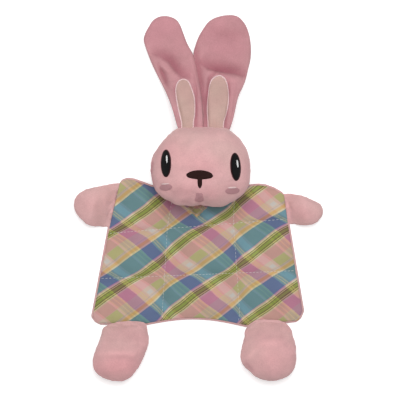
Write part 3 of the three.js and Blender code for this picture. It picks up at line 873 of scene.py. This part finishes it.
def cut_place(co, columns, rows):
    """Place in millimetres on the flat print of a place on the sewn blanket."""
    x = co.x / MM * PRINT_SCALE[0]
    y = (co.y / MM - PRINT_MIDDLE) * PRINT_SCALE[1] + PRINT_MIDDLE
    for line in columns:
        middle = np.interp(-co.y, [-point.y for point in line], [point.x for point in line])
        x += 2.5 * math.tanh((co.x - middle) / (6 * MM))
    for line in rows:
        middle = np.interp(co.x, [point.x for point in line], [point.y for point in line])
        y += 2.4 * math.tanh((co.y - middle) / (5 * MM))
    pull = [noise.noise(Vector((co.x, co.y, layer)) / (19 * MM)) * 1.1 for layer in (0, 0.3)]
    return x + pull[0], y + pull[1]


def back_height(u, v, place):
    edge = min(min(u, 1 - u) * BACK_SIZE[0], min(v, 1 - v) * BACK_SIZE[1])
    return 1.05 * MM + 1.0 * MM * math.exp(-edge / (2.5 * MM))


def thicken(piece, thickness):
    modifier = piece.modifiers.new("thickness", "SOLIDIFY")
    modifier.thickness = thickness
    modifier.offset = -1
    modifier.use_even_offset = False


STITCH_PITCH = 1.12  # from one stitch to the next, in stitch lengths


def stitch_row(maker, points, ground, length, radius):
    """Running stitches along a line of places."""
    travelled, begin = 0.0, points[0]
    for a, b in zip(points, points[1:]):
        travelled += (b - a).length
        if travelled >= length * STITCH_PITCH:
            add_stitch(maker, begin.lerp(b, 0.5), (b - begin).normalized(), ground, length, radius)
            travelled, begin = 0.0, b


def add_stitch(maker, middle, ray, ground, length, radius):
    made = bmesh.ops.create_uvsphere(maker, u_segments=6, v_segments=6, radius=1)
    side = Vector((-ray.y, ray.x))
    for vert in made["verts"]:
        local = vert.co.copy()
        place = middle + ray * (local.x * length / 2) + side * (local.y * radius)
        sag = (1 - local.x ** 2) * radius * 0.8
        vert.co = Vector((place.x, place.y, ground.height(place) + sag + local.z * radius))


def make_quilting(front):
    settings = comforter().blanket
    ground = Ground(front)
    maker = bmesh.new()
    for k in (1, 2):
        row = [spot(*blanket_spot(0.004 + 0.992 * i / 200, k / 3)) for i in range(201)]
        column = [spot(*blanket_spot(k / 3, 0.02 + 0.975 * i / 160)) for i in range(161)]
        stitch_row(maker, row, ground, settings.stitch, 0.17 * MM)
        stitch_row(maker, column, ground, settings.stitch, 0.14 * MM)
    piece = new_piece("quilting_stitches", maker)
    use(piece, cotton_thread("white_thread", (0.78, 0.78, 0.74)))
    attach(piece, "blanket")


# Head

FACE_SHAPE = [
    Dent(199.6, 175, 15, -1.6, 7), Dent(199.8, 184, 6, -0.9, 6),
    Dent(182, 184, 9, 1.3, 8), Dent(217, 185, 9, 1.3, 8), Dent(199.5, 197.5, 8, -0.9, 5),
    Dent(166.5, 166, 8, -0.7, 14), Dent(235, 168, 8, -0.7, 14),
    Fold((160, 178.5), (174, 177.5), 1.6, -0.8), Fold((226, 182.5), (241, 180), 1.6, -0.8),
    Dent(166, 187.5, 8, -0.6, 4.5), Dent(232, 191, 8, -0.6, 4.5),
    Fold((178, 201.5), (194, 203), 1.8, -0.9), Fold((204, 203), (222, 203.5), 1.8, -0.8),
    Fold((186, 192), (192, 199), 1.8, -0.5), Fold((213, 192), (207, 199), 1.8, -0.5),
]
SIDE_SEAM = [
    Fold((154.6, 155), (152.6, 172), 1.1, -1.0), Fold((152.6, 168), (155.6, 190), 1.1, -1.0),
]
HEAD_NAP = [
    Dent(172, 150, 16, 0.4, 16), Dent(200, 166, 22, 0.35, 9), Dent(180, 190, 14, 0.4, 9),
    Dent(214, 194, 12, 0.35, 8), Dent(190, 128, 26, 0.35, 3),
]
# painted shade: darker lines along the side seam, along the chin and below the nose, and a darker
# patch at the upper left rim
HEAD_PAINTED_SHADE = [
    Fold((153.6, 160), (151.6, 176), 1.3, 0.8), Fold((151.8, 174), (156, 190), 1.2, 0.5),
    Fold((180, 201), (194, 203.6), 1.6, 0.3), Fold((199, 199), (199.5, 206), 1.6, 0.45),
    Fold((186, 177), (214, 178), 3.0, 0.12), Dent(156.5, 152, 6, 0.3, 10),
]
HEAD_SEAM = {
    "width": 1.5 * MM, "depth": 1.1 * MM, "pitch": 3.2 * MM, "reach": 7 * MM, "first": 0.75,
    "slope": 5, "layer": 0,
}
LIMB_SEAM = {
    "width": 1.2 * MM, "depth": 0.8 * MM, "pitch": 3 * MM, "reach": 6 * MM, "first": 0.7,
    "slope": 4, "layer": 4,
}


def drawn_in(place, outline, share, drop, seam):
    """Where a place of a stuffed cover goes beside its seam: into its groove and its gathers."""
    groove = bell(drop, seam["width"]) * smooth((share - 0.8) * 8)
    ripple = noise.noise(Vector((place.x, place.y, seam["layer"])) / seam["pitch"])
    near = math.exp(-drop / seam["reach"]) * smooth((share - seam["first"]) * seam["slope"])
    inward = (outline.middle - place.xy).normalized()
    return place.xy + inward * (groove * seam["depth"] + near * ripple * 0.5 * MM)


def make_head():
    settings = comforter().stuffing
    outline = Outline(HEAD_LINE, (200.5, 168), -1.0 * MM)
    half = settings.head_depth / 2
    neck = spot(200, NECK_SEAM).y
    ground = Ground(bpy.data.objects["blanket_plaid"], bpy.data.objects["blanket_velour"])

    def rise(place, share):
        return (half - 2.2 * MM) * (1 - share ** 2.3) ** 0.55

    head = pad("head_velour", outline, lambda place: HEAD_SEAM_HEIGHT, rise, rise, settings.cells)
    stuff(head, lambda place: abs(place.z - HEAD_SEAM_HEIGHT) < 1e-6, HEAD_SPARE_CLOTH)
    refine(head)

    def shape(place):
        share = outline.share(place)
        moved = drawn_in(place, outline, share, abs(place.z - HEAD_SEAM_HEIGHT), HEAD_SEAM)
        z = place.z
        if z > HEAD_SEAM_HEIGHT:
            z += sum(item.at(place.xy) for item in FACE_SHAPE) * smooth((1 - share) * 6)
            z += lumps(place, 15 * MM, 0.9 * MM, 2) * smooth((1 - share) * 5)
            z += sum(item.at(place.xy) for item in SIDE_SEAM)
            return Vector((moved.x, moved.y, z))
        # the underside lies on the blanket at the neck and stands free of it elsewhere
        laid = ground.height(moved) + FLOOR_GAP
        seat = smooth((moved.y - neck) / (5 * MM) + 0.6) * smooth((1 - share) * 6)
        seat *= smooth((neck + 30 * MM - moved.y) / (24 * MM))
        seat *= smooth((42 * MM - abs(moved.x - outline.middle.x)) / (30 * MM))
        return Vector((moved.x, moved.y, max(laid, mix(z, min(z, laid), seat))))

    move_verts(head, shape)
    brush(head, "nap", HEAD_NAP)
    # paints shade into the velour along the side seam, the chin and below the nose
    brush(head, "crease", HEAD_PAINTED_SHADE)
    use(head, pink_velour())
    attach(head, "head")
    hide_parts("head_front", "head_back", "head_stuffing")


def oval_line(middle, half_sizes, lean):
    """Pattern squares round an oval."""
    line = []
    for i in range(20):
        angle = 2 * math.pi * i / 20
        x, y = half_sizes[0] * math.cos(angle), half_sizes[1] * math.sin(angle)
        line.append((middle[0] + x * math.cos(lean) - y * math.sin(lean),
                     middle[1] + x * math.sin(lean) + y * math.cos(lean)))
    return line


def make_face(head):
    ground = Ground(head)
    black = embroidery("black_thread", (0.006, 0.0055, 0.006), shine=0.12)
    maroon = embroidery("maroon_thread", (0.05, 0.014, 0.018), shine=0.12)
    brown = embroidery("brown_thread", (0.03, 0.011, 0.010), (1, 0, 0), 0.12)
    white = embroidery("white_satin", (0.85, 0.85, 0.85))
    mauve = embroidery("mauve_thread", (0.52, 0.27, 0.29))
    # pale pink satin for the painted highlights along the cheeks' top edges
    pale = embroidery("cheek_highlight_satin", (0.86, 0.66, 0.65))

    def lay(name, line, thick, material, node=None, lift=0.0, cells=16):
        piece = patch(name, Outline(line), ground, thick * MM, cells, lift * MM)
        use(piece, material)
        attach(piece, "head")
        if node:
            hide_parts(node)

    for name, (middle, (wide, tall), lean, glint) in EYES.items():
        lay(f"{name}_rim", oval_line(middle, (wide, tall), lean), 0.5, maroon)
        pupil = oval_line(middle, (wide - 0.7, tall - 0.7), lean)
        lay(f"{name}_black", pupil, 0.8, black, name)
        shine = oval_line(glint, (1.0, 4.7), lean - 0.06)
        lay(f"{name}_white", shine, 1.0, white, f"{name}_glint", 0.1, 8)
    for name, (middle, (wide, tall), lean) in CHEEKS.items():
        lay(f"{name}_satin", oval_line(middle, (wide, tall), lean), 0.6, mauve, name)
        # a pale band along the top edge of each cheek is a painted highlight, where light catches the
        # edge
        painted_highlight = oval_line((middle[0] - 0.4, middle[1] - tall * 1.02), (wide * 0.74, 0.62), lean)
        lay(f"{name}_arc", painted_highlight, 0.8, pale, None, 0.1, 8)
    lay("nose_satin", NOSE_LINE, 0.9, brown, "nose")
    lay("nose_stem", STEM_LINE, 0.9, brown)
    lay("mouth_satin", MOUTH_LINE, 0.6, mauve, "mouth")


# Ears

EAR_ROOT = spot(200, 126.6).y
EAR_FALL = 52 * MM  # length over which an ear comes down from the crown
EAR_FAR_HEIGHT = 4.4 * MM
EAR_HALF_THICKNESS, EAR_EDGE = 3.0 * MM, 4 * MM
DEEPEST_EAR_CREASE = 1.6 * MM  # below the ear's middle layer
LONG_CREASES = {  # places, width on the left and right of the way, depth
    "ear_right": [
        ([(150, 52), (162, 56), (170, 61), (175.6, 69), (182, 75), (195, 78)], 6.5, 2.2, 3.8),
        ([(157.6, 62), (161, 70), (165, 80), (169, 92)], 2.8, 1.6, 3.0),
        ([(174, 84), (178, 100), (182.4, 118), (184, 140)], 1.3, 1.6, 2.6),
        ([(193, 72), (196, 92), (196, 116), (195, 140)], 1.5, 1.3, 2.4),
    ],
    "ear_left": [
        ([(199, 61), (209, 67.6), (221, 70.6), (235, 72.4), (250, 77)], 7.5, 1.9, 4.6),
        ([(191, 26), (195, 52), (198.6, 72), (202.6, 96), (204.6, 116), (205, 150)], 3.8, 3.0, 3.0),
        ([(218, 69), (209.6, 78), (207.4, 96), (208, 116), (209.4, 140)], 1.2, 1.8, 2.6),
        ([(228, 76), (228.6, 96), (225.6, 118), (223.6, 140)], 1.7, 1.1, 2.6),
    ],
}
EAR_FOLDS = {
    "ear_right": [
        Fold((158, 64), (172, 74), 2.4, 1.6), Fold((166, 80), (172, 100), 3.0, 1.0),
        Fold((173, 104), (179, 129), 1.4, -1.2), Fold((192, 62), (200, 96), 2.4, 1.2),
    ],
    "ear_left": [
        Fold((209, 76), (240, 79), 2.4, 1.0), Dent(231, 36, 13, -1.0, 4),
        Fold((234, 88), (229, 129), 1.8, -1.8), Fold((214, 118), (215, 129), 1.4, -1.2),
    ],
}
# painted light on the ears: a positive stroke paints shade, darker, in the creases, between the ears,
# at their roots and on the tip of ear_left; a negative one paints a highlight, paler, along ridges and
# edges
EAR_PAINTED_SHADE_AND_HIGHLIGHTS = {
    "ear_right": [
        Fold((158, 61), (173, 75), 2.4, -0.4, 2.4, 1), Fold((164, 82), (175, 112), 2.2, -0.3, 2.2, 1),
        Dent(178, 42, 14, 0.12, 12), Fold((191, 64), (198.6, 110), 1.7, -0.35, 1.7, 1),
        Dent(190, 121, 3.4, 0.25, 7),
    ],
    "ear_left": [
        Dent(230, 34, 17, 0.4, 8), Dent(226, 49, 22, 0.1, 6),
        Fold((209, 77.5), (242, 81), 2.2, -0.25, 2.2, 1),
        Fold((234, 88), (230, 124), 2.4, -0.2, 2.4, 1),
    ],
}
# each long crease is also sunk into the ear and painted as shade along it, darker the deeper it is
for side, creases in LONG_CREASES.items():
    for points, left_width, right_width, depth in creases:
        EAR_FOLDS[side].append(Crease(points, right_width, -depth * 0.8, left_width))
        EAR_PAINTED_SHADE_AND_HIGHLIGHTS[side].append(Crease(points, right_width, 0.25 + depth * 0.17, left_width))


def ear_height(place):
    return mix(HEAD_SEAM_HEIGHT, EAR_FAR_HEIGHT, smooth((place.y - EAR_ROOT) / EAR_FALL))


def make_ear(name):
    settings = comforter().velour
    outline = Outline(EAR_LINES[name], EAR_MIDDLES[name])

    def rise(place, share):
        edge = (1 - share) * outline.reach(math.atan2(*(place - outline.middle).yx))
        round_edge = math.sqrt(max(0.0, 1 - max(0.0, 1 - edge / EAR_EDGE) ** 2))
        return EAR_HALF_THICKNESS * round_edge + 0.02 * MM

    def over(place, share):
        uneven = lumps(Vector((place.x, place.y, 0)), 17 * MM, 1.2 * MM, 7)
        return rise(place, share) + uneven * smooth((1 - share) * 5)

    def under(place, share):
        return min(rise(place, share), ear_height(place) - FLOOR_GAP)

    ear = pad(f"{name}_velour", outline, ear_height, over, under, 48)
    refine(ear)

    def shape(place):
        z, middle = place.z, ear_height(place)
        upper = smooth((z - middle) / (1.0 * MM))
        if upper > 0:
            move = sum(fold.at(place.xy) for fold in EAR_FOLDS[name])
            move *= smooth((1 - outline.share(place)) * 7)
            z = max(z + move * upper, middle - DEEPEST_EAR_CREASE)
        return Vector((place.x, place.y, max(z, FLOOR_GAP)))

    move_verts(ear, shape)
    # paints shade and highlights into the ear's velour
    brush(ear, "crease", EAR_PAINTED_SHADE_AND_HIGHLIGHTS[name])
    use(ear, shared("ear_pile", velour, tuple(settings.ear_pink), settings.pile))
    bend_ear(ear)
    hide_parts(f"{name}_front", f"{name}_back")
    return ear


def bend_ear(piece):
    """Bakes the placement of a layer of an ear into its mesh."""
    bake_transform(piece)


def make_inner_ear(name, ear):
    ground = Ground(ear)
    outline = Outline(INNER_EAR_LINES[name])
    inner = patch(f"{name}_beige", outline, ground, 0.9 * MM, 24, 0.2 * MM)
    use(inner, shared("beige_velour", velour, tuple(comforter().velour.beige), 0.2 * MM, 0.2))
    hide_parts(f"{name}_inner")
    bend_ear(inner)
    points = []
    for i in range(160):
        angle = 2 * math.pi * i / 160
        proud = smooth((math.cos(angle - 0.9) + 0.75) / 1.1)
        foot = ground.hit(outline.place(angle, 1.0))[0]
        points.append(foot + Vector((0, 0, mix(0.12, 0.5, proud) * MM)))
    edge = ring(f"{name}_satin_edge", points, 0.6 * MM)
    use(edge, shared("satin_edge", embroidery, (0.92, 0.68, 0.69), (0.7, 0.7, 0), 0.4))
    bend_ear(edge)


# Arms and feet

LIMB_NAP = {
    "arm_right": [Dent(88, 205, 14, 0.4, 12)],
    "arm_left": [Dent(306, 216, 14, 0.4, 8)],
    "foot_right": [Dent(117, 367, 26, 1.0, 13)],
    "foot_left": [Dent(270, 356, 20, 0.5, 15)],
}
# painted light on the arms and feet: a negative stroke paints a highlight, paler, on the inner arms
# and along the ridges across the feet; a positive one paints shade, darker
LIMB_PAINTED_SHADE_AND_HIGHLIGHTS = {
    "arm_right": [Dent(106, 206, 8, -0.7, 24)],
    "arm_left": [Dent(292, 209, 7, -0.8, 16)],
    "foot_right": [
        Fold((96, 354.5), (122, 351.6), 1.8, -0.75, 2.4, 1),
        Fold((115, 351.6), (138, 354.5), 1.8, -0.7, 2.4, 1),
        Dent(120, 336, 24, 0.08, 10),
    ],
    "foot_left": [
        Fold((246, 360), (262, 341), 2.0, -0.6, 2.4, 1),
        Fold((256, 343), (286, 342), 2.0, -0.6, 2.4, 1),
        Fold((244, 360), (255, 373), 1.7, 0.3, 1.7, 1),
    ],
}
LIMB_FOLDS = {
    "arm_right": [Fold((112, 190), (106, 224), 2.4, -0.8), Fold((104, 205), (88, 200), 4, 0.6)],
    "arm_left": [Fold((289, 200), (292, 221), 2.4, -0.8)],
    "foot_right": [Fold((99, 351), (141, 353), 4.0, 1.5), Fold((100, 338), (146, 338), 6, -1.2)],
    "foot_left": [
        Fold((246, 358), (262, 343), 5.0, 1.0), Fold((260, 343), (288, 343), 5.0, 1.0),
        Fold((248, 337), (292, 337), 6, -1.0),
    ],
}


LIMB_ROOTS = {  # lift at the seam, start of the swell inside it and length of the swell
    "arm": (-0.5 * MM, 10 * MM, 30 * MM),
    "foot": (2.6 * MM, 3 * MM, 20 * MM),
}


def make_limb(name):
    start, end, reach, depth = LIMBS[name]
    root, inside, swell = LIMB_ROOTS[name.split("_")[0]]
    start, end = spot(*start), spot(*end)
    outline = Outline(LIMB_LINES[name], None, -0.8 * MM)
    outward = Vector((-(end - start).y, (end - start).x)).normalized()
    if outward.dot(outline.middle - start) < 0:
        outward = -outward

    def away(place):
        return (place - start).dot(outward)

    def seam_height(place):
        return mix(EDGE_SEAM_HEIGHT + root, depth / 2, smooth(away(place) / (0.55 * reach)))

    def rise(place, share):
        neck = mix(0.05, 1, smooth((away(place) + inside) / swell))
        return (depth / 2 - 1.2 * MM) * (1 - share ** 2.3) ** 0.62 * neck

    def under(place, share):
        return min(rise(place, share), seam_height(place) - FLOOR_GAP)

    limb = pad(f"{name}_velour", outline, seam_height, rise, under, 30)
    stuff(limb, lambda place: abs(place.z - seam_height(place.xy)) < 1e-6, LIMB_SPARE_CLOTH)
    refine(limb)
    across = outward.yx * Vector((1, -1))

    def shape(place):
        flat, z = place.xy, place.z
        share, middle = outline.share(place), seam_height(flat)
        moved = drawn_in(place, outline, share, abs(z - middle), LIMB_SEAM)
        if z > middle:
            z += sum(item.at(flat) for item in LIMB_FOLDS[name]) * smooth((1 - share) * 4)
            z += lumps(place, 13 * MM, 0.8 * MM, 3) * smooth((1 - share) * 4)
            gather = noise.noise(Vector((flat.dot(across) / (3.4 * MM), 2, 0)))
            near = math.exp(-max(0, away(flat)) / (8 * MM)) * smooth((1 - share) * 6)
            z += gather * 1.0 * MM * near
        return Vector((moved.x, moved.y, max(z, FLOOR_GAP)))

    move_verts(limb, shape)
    brush(limb, "nap", LIMB_NAP[name])
    # paints shade and highlights into the limb's velour
    brush(limb, "crease", LIMB_PAINTED_SHADE_AND_HIGHLIGHTS[name])
    use(limb, pink_velour())
    crossing = [start.lerp(end, 0.5) + outward * along for along in SEAM_BEND]
    [(*place, EDGE_SEAM_HEIGHT) for place in crossing]
    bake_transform(limb)
    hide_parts(f"{name}_front", f"{name}_back", f"{name}_stuffing")


# Stage

FLOOR_SIZE, FLOOR_GLOW, SKY_LIGHT = 1.6, 0.42, 0.40
CAMERA_HEIGHT, SHARPEST_HEIGHT, FILM_WIDTH = 2.4, 0.015, 36


def make_floor():
    maker = bmesh.new()
    bmesh.ops.create_grid(maker, x_segments=2, y_segments=2, size=FLOOR_SIZE)
    floor = new_piece("floor", maker, False)
    material, tree, shader = new_material("pale_floor")
    shader.inputs["Base Color"].default_value = (0.86, 0.86, 0.86, 1)
    shader.inputs["Roughness"].default_value = 0.9
    bump(tree, shader, [(noise_texture(tree, object_places(tree), 300, 2), 0.02 * MM)])
    glow = add_node(tree, "ShaderNodeEmission")
    rays = add_node(tree, "ShaderNodeLightPath").outputs
    direct = maths(tree, "MAXIMUM", rays["Is Camera Ray"], rays["Is Glossy Ray"])
    direct = maths(tree, "MAXIMUM", direct, rays["Is Transmission Ray"])
    tree.links.new(maths(tree, "MULTIPLY", direct, FLOOR_GLOW), glow.inputs["Strength"])
    both = add_node(tree, "ShaderNodeAddShader")
    tree.links.new(shader.outputs[0], both.inputs[0])
    tree.links.new(glow.outputs[0], both.inputs[1])
    tree.links.new(both.outputs[0], tree.nodes["Material Output"].inputs["Surface"])
    use(floor, material)


def make_stage():
    make_floor()
    scene = bpy.context.scene
    scene.world = bpy.data.worlds.new("studio")
    scene.world.use_nodes = True
    tree = scene.world.node_tree
    sky = tree.nodes["Background"].inputs
    sky["Color"].default_value = (1, 1, 1, 1)
    rays = add_node(tree, "ShaderNodeLightPath").outputs
    tree.links.new(maths(tree, "MAXIMUM", rays["Is Camera Ray"], SKY_LIGHT), sky["Strength"])
    add_lamp("key", (0.08, 0.36, 1.36), 0.8, 13.2)
    add_lamp("fill", (-0.6, -0.5, 1.0), 0.8, 1.4)
    scene.view_settings.view_transform = "Standard"
    camera_data = bpy.data.cameras.new("camera")
    camera_data.sensor_width = FILM_WIDTH
    camera_data.lens = FILM_WIDTH * (CAMERA_HEIGHT - SHARPEST_HEIGHT) / PATTERN_SIZE
    scene.camera = bpy.data.objects.new("camera", camera_data)
    scene.camera.location = (*spot(200, 200), CAMERA_HEIGHT)
    scene.collection.objects.link(scene.camera)


def add_lamp(name, place, size, power):
    lamp = bpy.data.lights.new(name, "AREA")
    lamp.shape = "DISK"
    lamp.size = size
    lamp.energy = power
    holder = bpy.data.objects.new(name, lamp)
    holder.location = place
    holder.rotation_euler = Vector(place).to_track_quat("Z", "Y").to_euler()
    bpy.context.scene.collection.objects.link(holder)


# Operators

class COMFORTER_OT_blanket(bpy.types.Operator):
    """Make the quilted plaid blanket with its velour back and its running stitches"""
    bl_idname = "comforter.blanket"
    bl_label = "Blanket"

    def execute(self, context):
        make_quilting(make_blanket())
        return {"FINISHED"}


class COMFORTER_OT_head(bpy.types.Operator):
    """Make the stuffed head"""
    bl_idname = "comforter.head"
    bl_label = "Head"

    def execute(self, context):
        make_head()
        return {"FINISHED"}


class COMFORTER_OT_face(bpy.types.Operator):
    """Embroider the face on the head"""
    bl_idname = "comforter.face"
    bl_label = "Face"

    def execute(self, context):
        make_face(bpy.data.objects["head_velour"])
        return {"FINISHED"}


class COMFORTER_OT_ears(bpy.types.Operator):
    """Make both ears with their beige inner ears"""
    bl_idname = "comforter.ears"
    bl_label = "Ears"

    def execute(self, context):
        for name in EAR_LINES:
            make_inner_ear(name, make_ear(name))
        return {"FINISHED"}


class COMFORTER_OT_limbs(bpy.types.Operator):
    """Make the stuffed arms and feet"""
    bl_idname = "comforter.limbs"
    bl_label = "Arms and feet"

    def execute(self, context):
        for name in LIMB_LINES:
            make_limb(name)
        return {"FINISHED"}


class COMFORTER_OT_stage(bpy.types.Operator):
    """Set up the floor, the lamps and the camera"""
    bl_idname = "comforter.stage"
    bl_label = "Stage"

    def execute(self, context):
        make_stage()
        return {"FINISHED"}


class COMFORTER_PT_panel(bpy.types.Panel):
    """Lists the pieces of the comforter and their settings"""
    bl_label = "Bunny comforter"
    bl_idname = "COMFORTER_PT_panel"
    bl_space_type = "VIEW_3D"
    bl_region_type = "UI"
    bl_category = "Comforter"

    def draw(self, context):
        settings = context.scene.comforter
        for group in (settings.velour, settings.stuffing, settings.blanket):
            box = self.layout.box()
            for name in group.__annotations__:
                box.prop(group, name)
        for operator in OPERATORS:
            self.layout.operator(operator.bl_idname)


OPERATORS = (
    COMFORTER_OT_stage, COMFORTER_OT_blanket, COMFORTER_OT_head, COMFORTER_OT_face,
    COMFORTER_OT_ears, COMFORTER_OT_limbs,
)
CLASSES = (
    VelourSettings, StuffingSettings, BlanketSettings, ComforterSettings, *OPERATORS,
    COMFORTER_PT_panel,
)


def register():
    for item in CLASSES:
        bpy.utils.register_class(item)
    bpy.types.Scene.comforter = PointerProperty(
        type=ComforterSettings, name="Comforter", description="Sizes and colours of the comforter")


def unregister():
    del bpy.types.Scene.comforter
    for item in reversed(CLASSES):
        bpy.utils.unregister_class(item)


def main():
    register()
    bpy.ops.comforter.stage()
    bpy.ops.comforter.blanket()
    bpy.ops.comforter.head()
    bpy.ops.comforter.face()
    bpy.ops.comforter.ears()
    bpy.ops.comforter.limbs()


if __name__ == "__main__":
    main()
